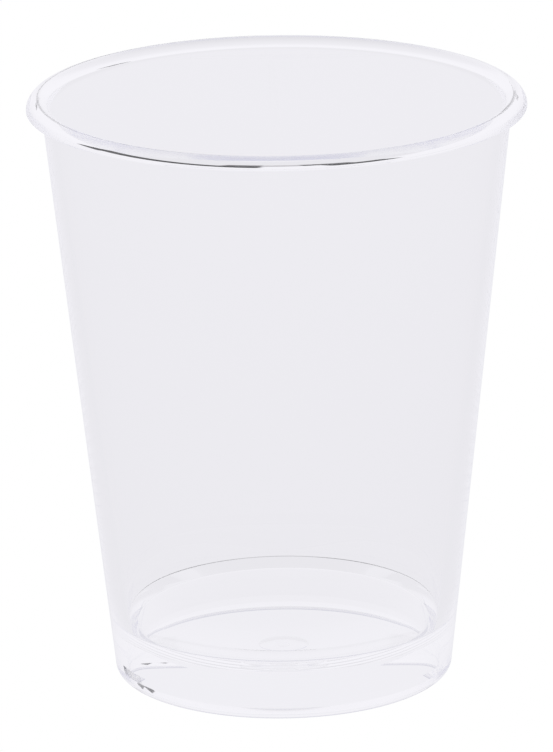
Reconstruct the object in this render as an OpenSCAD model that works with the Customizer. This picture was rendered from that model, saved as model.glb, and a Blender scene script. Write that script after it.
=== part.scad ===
// Clear disposable drinking cup, moulded in one piece.
// The cup is one turned section: a tapered wall, an open rim with a rolled lip,
// a floor that dips towards its middle, and a hollow foot under the floor.
// Origin: centre of the foot, on the ground. Z is the cup's axis.

/* [Cup] */
// Outer diameter of the lip
rim_d = 66; // [58:0.5:76]
// Height from the ground to the top of the lip
height = 79.4; // [60:0.2:100]
// Outer diameter of the foot, where the line of the wall meets the ground
base_d = 45; // [40:0.5:52]
// Wall thickness just under the lip
wall_top = 1.3; // [0.8:0.05:2]
// Wall thickness at the floor
wall_floor = 2.2; // [1.2:0.05:2.8]

/* [Lip] */
// How far the lip stands out past the wall
lip_out = 2; // [1:0.1:3]
// Height of the lip's outer face, with its round
lip_h = 1.55; // [1.55:0.05:3]
// Round from the lip's crest over its outer face, which leaves room for the lower edge
lip_round = 1.5; // [0.6:0.05:1.5]
// Round of the lip's lower edge
lip_edge = 0.05; // [0.02:0.01:0.05]
// Fillet under the lip
lip_fillet = 0.05; // [0.05:0.05:0.8]

/* [Floor] */
// Thickness of the floor
floor_t = 1; // [0.9:0.05:2.5]
// How far the floor dips from its edge to its middle
floor_dip = 4.5; // [1:0.1:5]
// Fillet where the wall meets the floor inside
floor_fillet = 0.3; // [0.2:0.05:2]

/* [Foot] */
// Height of the hollow under the floor, at its edge
foot_hollow_h = 6.6; // [6:0.1:9]
// Thickness of the foot's wall, on the ground line
foot_wall = 2.3; // [2:0.05:3]
// Round of the foot's outer edge
foot_round = 1.1; // [0.4:0.05:1.1]
// Width of the flare inside the foot, where the hollow starts to open towards the ground
foot_flare_w = 0.15; // [0.05:0.05:0.2]
// Height at which the flare starts
foot_flare_h = 2.4; // [1.8:0.1:3.5]
// Width of the bevel under the flare, on the foot's inner lower edge
foot_bevel_w = 0.55; // [0.2:0.05:0.6]
// Height of that bevel
foot_bevel_h = 1.35; // [0.5:0.05:1.7]

/* [Gate mark] */
// Diameter of the round well that the moulding gate leaves under the floor
gate_d = 6.8; // [4:0.2:10]
// Depth of the well
gate_depth = 0.5; // [0.2:0.05:0.5]
// Diameter of the stub of plastic in the well
stub_d = 1.6; // [0.8:0.1:3]
// Height of the stub
stub_h = 0.4; // [0.1:0.05:0.5]

/* [Hidden] */
$fn = 180;
plastic = [0.9, 0.9, 0.94, 0.4];

// Directions out of a circle's centre
up = [0, 1];
down = [0, -1];
sideways = [1, 0];

// What lies between a corner and the circle that rounds it, which is cut from the cup's
// outward corners and left standing in its inward ones. The circle touches the corner's
// two sides along a and b. It is larger by cross, so that it always crosses the sides and
// leaves no thread of a face where it touches them
cross = 0.0005;
reach = 1.2;
module corner(centre, radius, a, b) {
    tip = (a + b) / (1 + a * b);
    translate(centre) difference() {
        polygon(reach * radius * [[0, 0], a, tip, b]);
        circle(radius + cross);
    }
}

// Outer wall: a straight line from the foot to the underside of the lip
rim_r = rim_d / 2;
base_r = base_d / 2;
lip_z = height - lip_h;
wall_r = rim_r - lip_out;
outer_lean = atan((wall_r - base_r) / lip_z);
wall_side = [cos(outer_lean), -sin(outer_lean)];
function outer_r(z) = base_r + z * tan(outer_lean);
// Centre of a circle at height z that touches the outer wall's line,
// from inside with a positive radius and from outside with a negative one
function outer_touch(z, r) = [outer_r(z) - r / cos(outer_lean), z];

// Floor: two spheres about one centre, a floor's thickness apart
hollow_r = base_r - foot_wall;
flare_r = hollow_r + foot_flare_w;
under_r = (pow(hollow_r, 2) + pow(floor_dip, 2)) / (2 * floor_dip);
under_z = foot_hollow_h - floor_dip;
dish_z = under_z + under_r;
dish_r = under_r - floor_t;

// Inner wall: a straight line through its thickness at the lip and at the floor
edge_z = foot_hollow_h + floor_t;
mouth_r = wall_r - wall_top;
inner_lean = atan((mouth_r - outer_r(edge_z) + wall_floor) / (lip_z - edge_z));
inner_side = [cos(inner_lean), -sin(inner_lean)];
function inner_r(z) = mouth_r + (z - lip_z) * tan(inner_lean);

// Centres of the rounds of the foot and of the lip
foot_c = outer_touch(foot_round, foot_round);
under_lip_c = outer_touch(lip_z - lip_fillet, -lip_fillet);
lip_edge_c = [rim_r - lip_edge, lip_z + lip_edge];
lip_c = [rim_r - lip_round, height - lip_round];

// Mouth: its round starts at the lip's crest, where the lip's own round ends
crest_out = lip_c.x - mouth_r;
mouth_round = (crest_out * cos(inner_lean) - lip_h * sin(inner_lean)) / (1 - sin(inner_lean));
mouth_c = [lip_c.x, height - mouth_round];

// Floor fillet: its circle touches the inner wall and the dish. Its centre lies on a line
// beside the wall, a fillet away, and on a circle about the dish's centre
touch_r = dish_r - floor_fillet;
line_r = inner_r(dish_z) - floor_fillet / cos(inner_lean);
half_b = line_r * sin(inner_lean) * cos(inner_lean);
line_c = (pow(line_r, 2) - pow(touch_r, 2)) * pow(cos(inner_lean), 2);
fillet_drop = half_b + sqrt(pow(half_b, 2) - line_c);
fillet_c = [line_r - fillet_drop * tan(inner_lean), dish_z - fillet_drop];
dish_side = (fillet_c - [0, dish_z]) / touch_r;

// The cup's outer shape with its lip, filled in to the axis
module outside() {
    difference() {
        polygon([
            [0, 0],
            [base_r, 0],
            under_lip_c - lip_fillet * wall_side,
            under_lip_c,
            [under_lip_c.x, lip_z],
            [rim_r, lip_z],
            [rim_r, height],
            [0, height]
        ]);
        translate(under_lip_c) circle(lip_fillet + cross);
        corner(foot_c, foot_round, down, wall_side);
        corner(lip_edge_c, lip_edge, down, sideways);
        corner(lip_c, lip_round, sideways, up);
    }
}

// The drinking space, from the floor up through the mouth
module inside() {
    difference() {
        intersection() {
            polygon([
                [0, under_z],
                [inner_r(under_z), under_z],
                [inner_r(height + lip_h), height + lip_h],
                [0, height + lip_h]
            ]);
            union() {
                translate([0, dish_z]) circle(dish_r);
                translate([0, dish_z]) square([rim_d, height]);
            }
        }
        corner(fillet_c, floor_fillet, inner_side, dish_side);
    }
    corner(mouth_c, mouth_round, -inner_side, up);
}

// The hollow of the foot, with the gate's well and stub
module hollow() {
    well_z = under_z + gate_depth;
    difference() {
        polygon([
            [0, -foot_bevel_h],
            [flare_r + 2 * foot_bevel_w, -foot_bevel_h],
            [flare_r, foot_bevel_h],
            [hollow_r, foot_flare_h],
            [hollow_r, dish_z],
            [0, dish_z]
        ]);
        translate([0, dish_z]) circle(under_r);
    }
    difference() {
        translate([0, under_z - gate_depth]) square([gate_d / 2, 2 * gate_depth]);
        translate([0, well_z - stub_h]) square([stub_d / 2, 2 * stub_h]);
    }
}

module cup() {
    color(plastic)
    rotate_extrude()
    difference() {
        outside();
        inside();
        hollow();
    }
}

cup();
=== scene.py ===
# Clear disposable drinking cup on a plain white ground.
# The cup is one turned section, swept round its axis finely enough to bend light as the
# real moulding does. Sizes are in millimetres, and MM turns them into metres where an
# object is made. A point of the section is (distance from the axis, height).

from collections import namedtuple
import math

import bpy
from mathutils import Matrix, Vector


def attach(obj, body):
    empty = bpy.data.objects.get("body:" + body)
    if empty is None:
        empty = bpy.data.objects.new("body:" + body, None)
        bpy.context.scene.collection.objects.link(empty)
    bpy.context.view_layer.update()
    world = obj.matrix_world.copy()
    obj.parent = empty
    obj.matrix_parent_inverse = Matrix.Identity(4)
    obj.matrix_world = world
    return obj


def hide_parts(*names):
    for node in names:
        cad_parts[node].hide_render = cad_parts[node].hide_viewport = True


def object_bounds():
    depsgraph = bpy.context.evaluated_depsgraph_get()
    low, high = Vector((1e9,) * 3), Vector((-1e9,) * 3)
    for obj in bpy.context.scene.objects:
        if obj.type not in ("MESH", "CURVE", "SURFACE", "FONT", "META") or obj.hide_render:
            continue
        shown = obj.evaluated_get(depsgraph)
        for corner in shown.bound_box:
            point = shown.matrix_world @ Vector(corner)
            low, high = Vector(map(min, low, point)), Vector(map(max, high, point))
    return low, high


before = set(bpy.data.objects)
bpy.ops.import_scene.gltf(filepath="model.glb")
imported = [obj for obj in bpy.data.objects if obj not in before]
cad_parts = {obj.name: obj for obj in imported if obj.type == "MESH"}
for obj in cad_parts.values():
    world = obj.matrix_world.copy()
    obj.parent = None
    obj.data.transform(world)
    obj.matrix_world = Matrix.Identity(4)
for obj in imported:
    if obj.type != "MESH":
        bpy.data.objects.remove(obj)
cad_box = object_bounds()

MM = 0.001

# Cup
RIM_D = (cad_box[1][0] - cad_box[0][0]) / MM
HEIGHT = (cad_box[1][2] - cad_box[0][2]) / MM
BASE_D = 45.0
WALL_TOP = 1.3
WALL_FLOOR = 2.2

# Lip
LIP_OUT = 2.0
LIP_H = 1.55
LIP_ROUND = 1.5
LIP_EDGE = 0.05
LIP_FILLET = 0.05

# Floor
FLOOR_T = 1.0
FLOOR_DIP = 4.5
FLOOR_FILLET = 0.3

# Foot
FOOT_HOLLOW_H = 6.6
FOOT_WALL = 2.3
FOOT_ROUND = 1.1
FOOT_FLARE_W = 0.15
FOOT_FLARE_H = 2.4
FOOT_BEVEL_W = 0.55
FOOT_BEVEL_H = 1.35

# Gate mark, with the narrow edge between its well and the floor's sphere
GATE_D = 6.8
GATE_DEPTH = 0.5
GATE_EDGE = 0.5
STUB_D = 1.6
STUB_H = 0.4

# The moulding's small edge radii
EDGE_ROUND = 0.08

# How finely the shape is drawn: parts round the axis, along a wall and round a small corner,
# and degrees per part of a round, of the lip's lower edge and of the floor's spheres
SEGMENTS = 480
WALL_PARTS = 24
CORNER_PARTS = 4
ARC_STEP = 6.0
EDGE_STEP = 15.0
SPHERE_STEP = 0.6

# Outer wall: a straight line from the foot to the underside of the lip
RIM_R = RIM_D / 2
BASE_R = BASE_D / 2
LIP_Z = HEIGHT - LIP_H
WALL_R = RIM_R - LIP_OUT
OUTER_LEAN = math.atan((WALL_R - BASE_R) / LIP_Z)


def outer_r(z):
    return BASE_R + z * math.tan(OUTER_LEAN)


# Floor: two spheres about one centre, a floor's thickness apart
HOLLOW_R = BASE_R - FOOT_WALL
UNDER_R = (HOLLOW_R**2 + FLOOR_DIP**2) / (2 * FLOOR_DIP)
UNDER_Z = FOOT_HOLLOW_H - FLOOR_DIP
DISH_Z = UNDER_Z + UNDER_R
DISH_R = UNDER_R - FLOOR_T

# Inner wall: a straight line through its thickness at the lip and at the floor
FLOOR_EDGE_Z = FOOT_HOLLOW_H + FLOOR_T
MOUTH_R = WALL_R - WALL_TOP
INNER_LEAN = math.atan((MOUTH_R - outer_r(FLOOR_EDGE_Z) + WALL_FLOOR) / (LIP_Z - FLOOR_EDGE_Z))


def inner_r(z):
    return MOUTH_R + (z - LIP_Z) * math.tan(INNER_LEAN)


# Points along an arc, from one angle to another in degrees
def arc(centre, radius, start, end, step=ARC_STEP):
    count = max(2, math.ceil(abs(end - start) / step))
    angles = [math.radians(start + (end - start) * k / count) for k in range(count + 1)]
    return [(centre[0] + radius * math.cos(a), centre[1] + radius * math.sin(a)) for a in angles]


# Points along a straight line, both ends included
def line(start, end, count):
    return [tuple(s + (e - s) * k / count for s, e in zip(start, end)) for k in range(count + 1)]


# A corner between two straight sides, rounded with the moulding's small radius
def soft_corner(before, corner, after):
    corner = Vector(corner)
    to_before = (Vector(before) - corner).normalized()
    to_after = (Vector(after) - corner).normalized()
    half = to_before.angle(to_after) / 2
    run = EDGE_ROUND / math.tan(half)
    centre = corner + (to_before + to_after).normalized() * EDGE_ROUND / math.sin(half)
    first = corner + to_before * run - centre
    last = corner + to_after * run - centre
    turn = first.angle(last)
    points = []
    for k in range(CORNER_PARTS + 1):
        share = k / CORNER_PARTS
        spoke = (first * math.sin((1 - share) * turn) + last * math.sin(share * turn)) / math.sin(turn)
        points.append(tuple(centre + spoke))
    return points


# Underside, out from the axis: the stub, the gate's well and the floor's lower sphere
def underside():
    stub_r = STUB_D / 2
    gate_r = GATE_D / 2
    well_z = UNDER_Z + GATE_DEPTH
    stub_z = well_z - STUB_H
    stub_foot = (stub_r, well_z)
    stub_top = (stub_r, stub_z)
    well_corner = (gate_r, well_z)
    well_lip = (gate_r, DISH_Z - math.sqrt(UNDER_R**2 - gate_r**2))
    points = [(0.0, stub_z)]
    points += soft_corner((0, stub_z), stub_top, stub_foot)
    points += soft_corner(stub_top, stub_foot, well_corner)
    points += soft_corner(stub_foot, well_corner, well_lip)
    points += soft_corner(well_corner, well_lip, (HOLLOW_R, well_lip[1]))
    start = math.degrees(math.asin((gate_r + GATE_EDGE) / UNDER_R)) - 90
    end = math.degrees(math.asin(HOLLOW_R / UNDER_R)) - 90
    return points + arc((0, DISH_Z), UNDER_R, start, end, SPHERE_STEP)


# Foot, from the top of its hollow: the hollow's wall, its flare and bevel, the flat ring that
# the cup stands on, and the round outside
def foot(before, hollow_top):
    flare_top = (HOLLOW_R, FOOT_FLARE_H)
    bevel_top = (HOLLOW_R + FOOT_FLARE_W, FOOT_BEVEL_H)
    bevel_end = (bevel_top[0] + FOOT_BEVEL_W, 0)
    centre = (outer_r(FOOT_ROUND) - FOOT_ROUND / math.cos(OUTER_LEAN), FOOT_ROUND)
    points = soft_corner(before, hollow_top, flare_top)
    points += soft_corner(hollow_top, flare_top, bevel_top)
    points += soft_corner(flare_top, bevel_top, bevel_end)
    points += soft_corner(bevel_top, bevel_end, (centre[0], 0))
    return points + arc(centre, FOOT_ROUND, -90, -math.degrees(OUTER_LEAN))


# Outer wall, from the foot up to the fillet under the lip
def outer_wall(start):
    fillet_z = LIP_Z - LIP_FILLET
    centre = (outer_r(fillet_z) + LIP_FILLET / math.cos(OUTER_LEAN), fillet_z)
    fillet = arc(centre, LIP_FILLET, 180 - math.degrees(OUTER_LEAN), 90)
    return line(start, fillet[0], WALL_PARTS)[1:-1] + fillet


# Lip: its lower edge, the round over its outer face, and the mouth's own round, which starts
# on the same crest and ends on the inner wall
def lip():
    edge_c = (RIM_R - LIP_EDGE, LIP_Z + LIP_EDGE)
    lip_c = (RIM_R - LIP_ROUND, HEIGHT - LIP_ROUND)
    crest_out = lip_c[0] - MOUTH_R
    mouth_round = crest_out * math.cos(INNER_LEAN) - LIP_H * math.sin(INNER_LEAN)
    mouth_round /= 1 - math.sin(INNER_LEAN)
    mouth_c = (lip_c[0], HEIGHT - mouth_round)
    points = arc(edge_c, LIP_EDGE, -90, 0, EDGE_STEP)
    points += arc(lip_c, LIP_ROUND, 0, 90)[:-1]
    return points + arc(mouth_c, mouth_round, 90, 180 - math.degrees(INNER_LEAN))


# Inside, from the mouth down: the wall, the floor's fillet, whose circle touches the wall and
# the upper sphere, and that sphere in to the axis
def inside(start):
    touch_r = DISH_R - FLOOR_FILLET
    line_r = inner_r(DISH_Z) - FLOOR_FILLET / math.cos(INNER_LEAN)
    half_b = line_r * math.sin(INNER_LEAN) * math.cos(INNER_LEAN)
    line_c = (line_r**2 - touch_r**2) * math.cos(INNER_LEAN) ** 2
    drop = half_b + math.sqrt(half_b**2 - line_c)
    centre = (line_r - drop * math.tan(INNER_LEAN), DISH_Z - drop)
    dish_deg = math.degrees(math.atan2(centre[1] - DISH_Z, centre[0]))
    fillet = arc(centre, FLOOR_FILLET, -math.degrees(INNER_LEAN), dish_deg)
    points = line(start, fillet[0], WALL_PARTS)[1:-1] + fillet[:-1]
    return points + arc((0, DISH_Z), DISH_R, dish_deg, -90, SPHERE_STEP)


# The closed section, from the axis under the floor round to the axis above it
def cup_section():
    floor = underside()
    section = floor[:-1] + foot(floor[-2], floor[-1])
    section += outer_wall(section[-1])
    section += lip()
    section += inside(section[-1])
    return section


# Makes a mesh object in the scene from points in metres
def add_piece(name, verts, faces):
    mesh = bpy.data.meshes.new(name)
    mesh.from_pydata(verts, [], faces)
    piece = bpy.data.objects.new(name, mesh)
    bpy.context.scene.collection.objects.link(piece)
    return piece


# Points on a circle round the axis, in metres
def ring(radius, z, count):
    angles = [2 * math.pi * k / count for k in range(count)]
    return [(radius * math.cos(a) * MM, radius * math.sin(a) * MM, z * MM) for a in angles]


# Sweeps the section round the axis into one closed mesh. A point on the axis is one vertex
def turned(name, section):
    on_axis = 1e-6
    verts = []
    rings = []
    for r, z in section:
        if r < on_axis:
            rings.append([len(verts)] * SEGMENTS)
            verts.append((0, 0, z * MM))
        else:
            rings.append(range(len(verts), len(verts) + SEGMENTS))
            verts += ring(r, z, SEGMENTS)
    faces = []
    for low, high in zip(rings, rings[1:]):
        for k in range(SEGMENTS):
            n = (k + 1) % SEGMENTS
            corners = [low[k], low[n], high[n], high[k]]
            faces.append(list(dict.fromkeys(corners)))
    piece = add_piece(name, verts, faces)
    piece.data.validate()
    piece.data.shade_smooth()
    return piece


# Clear polystyrene, which takes on a very faint lavender tint with depth
PLASTIC_IOR = 1.59
DEPTH_COLOR = (0.2, 0.2, 0.475, 1)
DEPTH_DENSITY = 0.08


def clear_plastic():
    mat = bpy.data.materials.new("clear_plastic")
    mat.use_nodes = True
    nodes = mat.node_tree.nodes
    shader = nodes["Principled BSDF"]
    shader.inputs["Base Color"].default_value = (1, 1, 1, 1)
    shader.inputs["Transmission Weight"].default_value = 1
    shader.inputs["IOR"].default_value = PLASTIC_IOR
    shader.inputs["Roughness"].default_value = 0
    depth = nodes.new("ShaderNodeVolumeAbsorption")
    depth.inputs["Color"].default_value = DEPTH_COLOR
    depth.inputs["Density"].default_value = DEPTH_DENSITY
    mat.node_tree.links.new(depth.outputs[0], nodes["Material Output"].inputs["Volume"])
    return mat


# Surroundings. The camera itself sees plain white. The cup sees a pale studio, whose tone
# changes with the height of the line of sight: each of the tones is (degrees above the
# horizon, brightness)
WHITE = (1.0, 1.0, 1.0, 1)
TINT = (1.0, 0.99, 1.038, 1)
TONES = [
    (-90, 0.80), (-60, 0.81), (-35, 0.81), (-21, 0.822), (-16, 0.85), (-10, 0.875), (-2, 0.91),
    (14, 0.93), (27, 0.915), (34, 0.865), (45, 0.835), (58, 0.79), (70, 0.765), (90, 0.78),
]

# Dark strips of the studio, which draw the dark lines in the plastic. Heights and turns are
# (from, to, soft edge) in degrees, and a turn of 0 is straight behind the cup, with positive
# turns to the right. A strip only darkens light that has met the plastic's surface a number
# of times between the two in meetings
Strip = namedtuple("Strip", "heights turns darkness meetings")
STRIPS = [
    # The lip's black line round the middle of the front, in three stretches, the second of
    # them paler. They also darken the thin line behind the floor
    Strip((-40, -29, 0.5), (-4.4, -1.4, 0.3), 0.98, (5, 6)),
    Strip((-40, -29, 0.5), (-1.1, 1.8, 0.3), 0.40, (5, 6)),
    Strip((-40, -29, 0.5), (2.1, 6.5, 0.4), 0.98, (5, 6)),
    # The same line's thick left end, the rest of its left half, and a stretch at the right
    Strip((5, 17, 0.5), (-3.6, -2.75, 0.1), 0.97, (1, 4)),
    Strip((7, 14.5, 0.5), (-2.65, -0.25, 0.1), 0.97, (1, 4)),
    Strip((7, 14.5, 0.5), (0.65, 1.5, 0.12), 0.97, (1, 4)),
    # The dark mark at the left of the foot's lower corner: its middle, lower end and upper part
    Strip((13.5, 16.3, 0.4), (-10.4, -7.7, 0.4), 0.97, (5, 5)),
    Strip((10.8, 13.2, 0.3), (-7.7, -5.4, 0.4), 0.97, (5, 5)),
    Strip((12, 20, 0.8), (-58, -33, 2), 0.97, (4, 4)),
    # The fine lines at the left and right of the floor's front edge
    Strip((-36, -32, 0.5), (-90, 90, 10), 0.45, (1, 4)),
]

# Light that the rim guides round inside the plastic meets its surface many times. What leaves
# the cup at the front and downwards comes out dimmer and more violet. Turns to both sides count
GUIDED_TURNS = (65, 180, 10)
GUIDED_HEIGHTS = (-80, -24, 8)
GUIDED_MEETINGS = (17, 44)
GUIDED_TINT = (0.52, 0.52, 0.76)


# Adds a Math node; inputs are sockets or numbers
def math_node(tree, operation, *values):
    node = tree.nodes.new("ShaderNodeMath")
    node.operation = operation
    for socket, value in zip(node.inputs, values):
        if isinstance(value, (int, float)):
            socket.default_value = value
        else:
            tree.links.new(value, socket)
    return node.outputs[0]


# 1 between low and high, falling to 0 over the soft width outside them; angles in degrees
def strip(tree, angle, low, high, soft):
    rise = tree.nodes.new("ShaderNodeMapRange")
    fall = tree.nodes.new("ShaderNodeMapRange")
    for node, start, end in ((rise, low - soft, low), (fall, high + soft, high)):
        node.interpolation_type = "SMOOTHSTEP"
        node.inputs["From Min"].default_value = math.radians(start)
        node.inputs["From Max"].default_value = math.radians(end)
        tree.links.new(angle, node.inputs["Value"])
    return math_node(tree, "MULTIPLY", rise.outputs[0], fall.outputs[0])


# 1 for light that has met the surface between fewest and most times
def met(tree, count, fewest, most):
    above = math_node(tree, "GREATER_THAN", count, fewest - 0.5)
    below = math_node(tree, "LESS_THAN", count, most + 0.5)
    return math_node(tree, "MULTIPLY", above, below)


# The studio's tone at a height
def studio_tone(tree, height):
    tones = tree.nodes.new("ShaderNodeValToRGB")
    tree.links.new(math_node(tree, "MULTIPLY_ADD", height, 1 / math.pi, 0.5), tones.inputs[0])
    stops = tones.color_ramp.elements
    while len(stops) > 1:
        stops.remove(stops[0])
    for k, (angle, tone) in enumerate(TONES):
        place = (angle + 90) / 180
        stop = stops[0] if k == 0 else stops.new(place)
        stop.position = place
        stop.color = (tone, tone, tone, 1)
    return tones.outputs["Color"]


# The share of light that the dark strips leave
def strip_shade(tree, height, turn, count):
    shade = None
    for row in STRIPS:
        band = strip(tree, height, *row.heights)
        part = math_node(tree, "MULTIPLY", band, strip(tree, turn, *row.turns))
        part = math_node(tree, "MULTIPLY", part, met(tree, count, *row.meetings))
        light = math_node(tree, "MULTIPLY_ADD", part, -row.darkness, 1.0)
        shade = light if shade is None else math_node(tree, "MULTIPLY", shade, light)
    return shade


# The studio's tint, changed for the light that the rim guides
def studio_tint(tree, height, turn, count):
    mix = tree.nodes.new("ShaderNodeMix")
    mix.data_type = "RGBA"
    plain, violet = [s for s in mix.inputs if s.type == "RGBA"]
    plain.default_value = TINT
    violet.default_value = [t * g for t, g in zip(TINT, GUIDED_TINT)] + [1]
    side = strip(tree, math_node(tree, "ABSOLUTE", turn), *GUIDED_TURNS)
    guided = math_node(tree, "MULTIPLY", side, strip(tree, height, *GUIDED_HEIGHTS))
    guided = math_node(tree, "MULTIPLY", guided, met(tree, count, *GUIDED_MEETINGS))
    tree.links.new(guided, mix.inputs["Factor"])
    return [s for s in mix.outputs if s.type == "RGBA"][0]


# Mixes what the camera sees with what everything else sees
def camera_mix(tree, others, camera, out):
    path = tree.nodes.new("ShaderNodeLightPath")
    mix = tree.nodes.new("ShaderNodeMixShader")
    tree.links.new(path.outputs["Is Camera Ray"], mix.inputs[0])
    tree.links.new(others.outputs[0], mix.inputs[1])
    tree.links.new(camera.outputs[0], mix.inputs[2])
    tree.links.new(mix.outputs[0], out.inputs["Surface"])


def tent_world():
    world = bpy.data.worlds.new("tent")
    bpy.context.scene.world = world
    world.use_nodes = True
    tree = world.node_tree
    nodes = tree.nodes
    links = tree.links
    nodes.clear()
    sight = nodes.new("ShaderNodeSeparateXYZ")
    links.new(nodes.new("ShaderNodeTexCoord").outputs["Generated"], sight.inputs[0])
    height = math_node(tree, "ARCSINE", sight.outputs["Z"])
    turn = math_node(tree, "ARCTAN2", sight.outputs["X"], sight.outputs["Y"])
    count = nodes.new("ShaderNodeLightPath").outputs["Ray Depth"]
    tinted = nodes.new("ShaderNodeVectorMath")
    tinted.operation = "MULTIPLY"
    links.new(studio_tone(tree, height), tinted.inputs[0])
    links.new(studio_tint(tree, height, turn, count), tinted.inputs[1])
    tent = nodes.new("ShaderNodeBackground")
    links.new(tinted.outputs[0], tent.inputs["Color"])
    links.new(strip_shade(tree, height, turn, count), tent.inputs["Strength"])
    white = nodes.new("ShaderNodeBackground")
    white.inputs["Color"].default_value = WHITE
    camera_mix(tree, tent, white, nodes.new("ShaderNodeOutputWorld"))


# The table under the foot, as only the cup sees it: a bright disc inside the ring that the cup
# stands on, and under that ring a painted contact shadow, a darker glowing ring just below the ground.
# The camera looks through them
UNDER_TONE = (0.875, 0.868, 0.91, 1)
# Tone of the painted contact shadow: the ring under the foot glows darker in place of real shade
PAINTED_CONTACT_SHADOW_TONE = (0.62, 0.62, 0.70, 1)
CENTRE_R = 0.01
PAINTED_SHADOW_IN = 20.7
PAINTED_SHADOW_OUT = 22.2
TABLE_Z = -0.02
TABLE_SEGMENTS = 96


# A material that glows for the cup and is clear for the camera
def table_glow(name, tone):
    mat = bpy.data.materials.new(name)
    mat.use_nodes = True
    nodes = mat.node_tree.nodes
    nodes.clear()
    glow = nodes.new("ShaderNodeEmission")
    glow.inputs["Color"].default_value = tone
    clear = nodes.new("ShaderNodeBsdfTransparent")
    camera_mix(mat.node_tree, glow, clear, nodes.new("ShaderNodeOutputMaterial"))
    return mat


# A flat ring of the table between two radii
def table_ring(name, inner, outer, tone):
    verts = ring(inner, TABLE_Z, TABLE_SEGMENTS) + ring(outer, TABLE_Z, TABLE_SEGMENTS)
    faces = []
    for k in range(TABLE_SEGMENTS):
        n = (k + 1) % TABLE_SEGMENTS
        faces.append((k, n, TABLE_SEGMENTS + n, TABLE_SEGMENTS + k))
    piece = add_piece(name, verts, faces)
    piece.data.materials.append(table_glow(name, tone))


# Camera: the photograph's viewing angle and framing, worked out from the cup's outlines.
# Its axis meets the picture at AXIS_X, AXIS_Y. These and the focal length are in the
# photograph's pixels, the angles in degrees
PHOTO_W = 553
PHOTO_H = 752
AXIS_X = 280.25
AXIS_Y = 383.30
FOCAL_PX = 7094.0
ELEVATION = 16.951
DISTANCE = 945.13
TARGET_Z = 39.6
ROLL = -0.7609
SENSOR = 36
CLIP_NEAR_M = 0.05
CLIP_FAR_M = 50


def photo_camera():
    data = bpy.data.cameras.new("photo_camera")
    camera = bpy.data.objects.new("photo_camera", data)
    bpy.context.scene.collection.objects.link(camera)
    bpy.context.scene.camera = camera
    tilt = math.radians(ELEVATION)
    roll = math.radians(ROLL)
    ahead = Vector((0, math.cos(tilt), -math.sin(tilt)))
    level = Vector((1, 0, 0))
    above = level.cross(ahead)
    right = math.cos(roll) * level + math.sin(roll) * above
    up = math.cos(roll) * above - math.sin(roll) * level
    camera.matrix_world = Matrix((right, up, -ahead)).transposed().to_4x4()
    camera.location = (Vector((0, 0, TARGET_Z)) - DISTANCE * ahead) * MM
    data.sensor_width = SENSOR
    data.lens = FOCAL_PX / PHOTO_H * SENSOR
    data.shift_x = (PHOTO_W / 2 - AXIS_X) / PHOTO_H
    data.shift_y = (AXIS_Y - PHOTO_H / 2) / PHOTO_H
    data.clip_start = CLIP_NEAR_M
    data.clip_end = CLIP_FAR_M


# Light that the rim guides turns many times before it comes out
BOUNCES = 1000

photo_camera()
tent_world()
table_ring("table_under_cup", CENTRE_R, PAINTED_SHADOW_IN, UNDER_TONE)
# Painted contact shadow: a darker glowing ring under the foot, seen only by the cup
table_ring("table_painted_contact_shadow", PAINTED_SHADOW_IN, PAINTED_SHADOW_OUT, PAINTED_CONTACT_SHADOW_TONE)

cup = turned("cup_body", cup_section())
cup.data.materials.append(clear_plastic())
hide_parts("cup")
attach(cup, "root")

scene = bpy.context.scene
scene.view_settings.view_transform = "Standard"
scene.cycles.max_bounces = BOUNCES
scene.cycles.transmission_bounces = BOUNCES
scene.cycles.glossy_bounces = BOUNCES
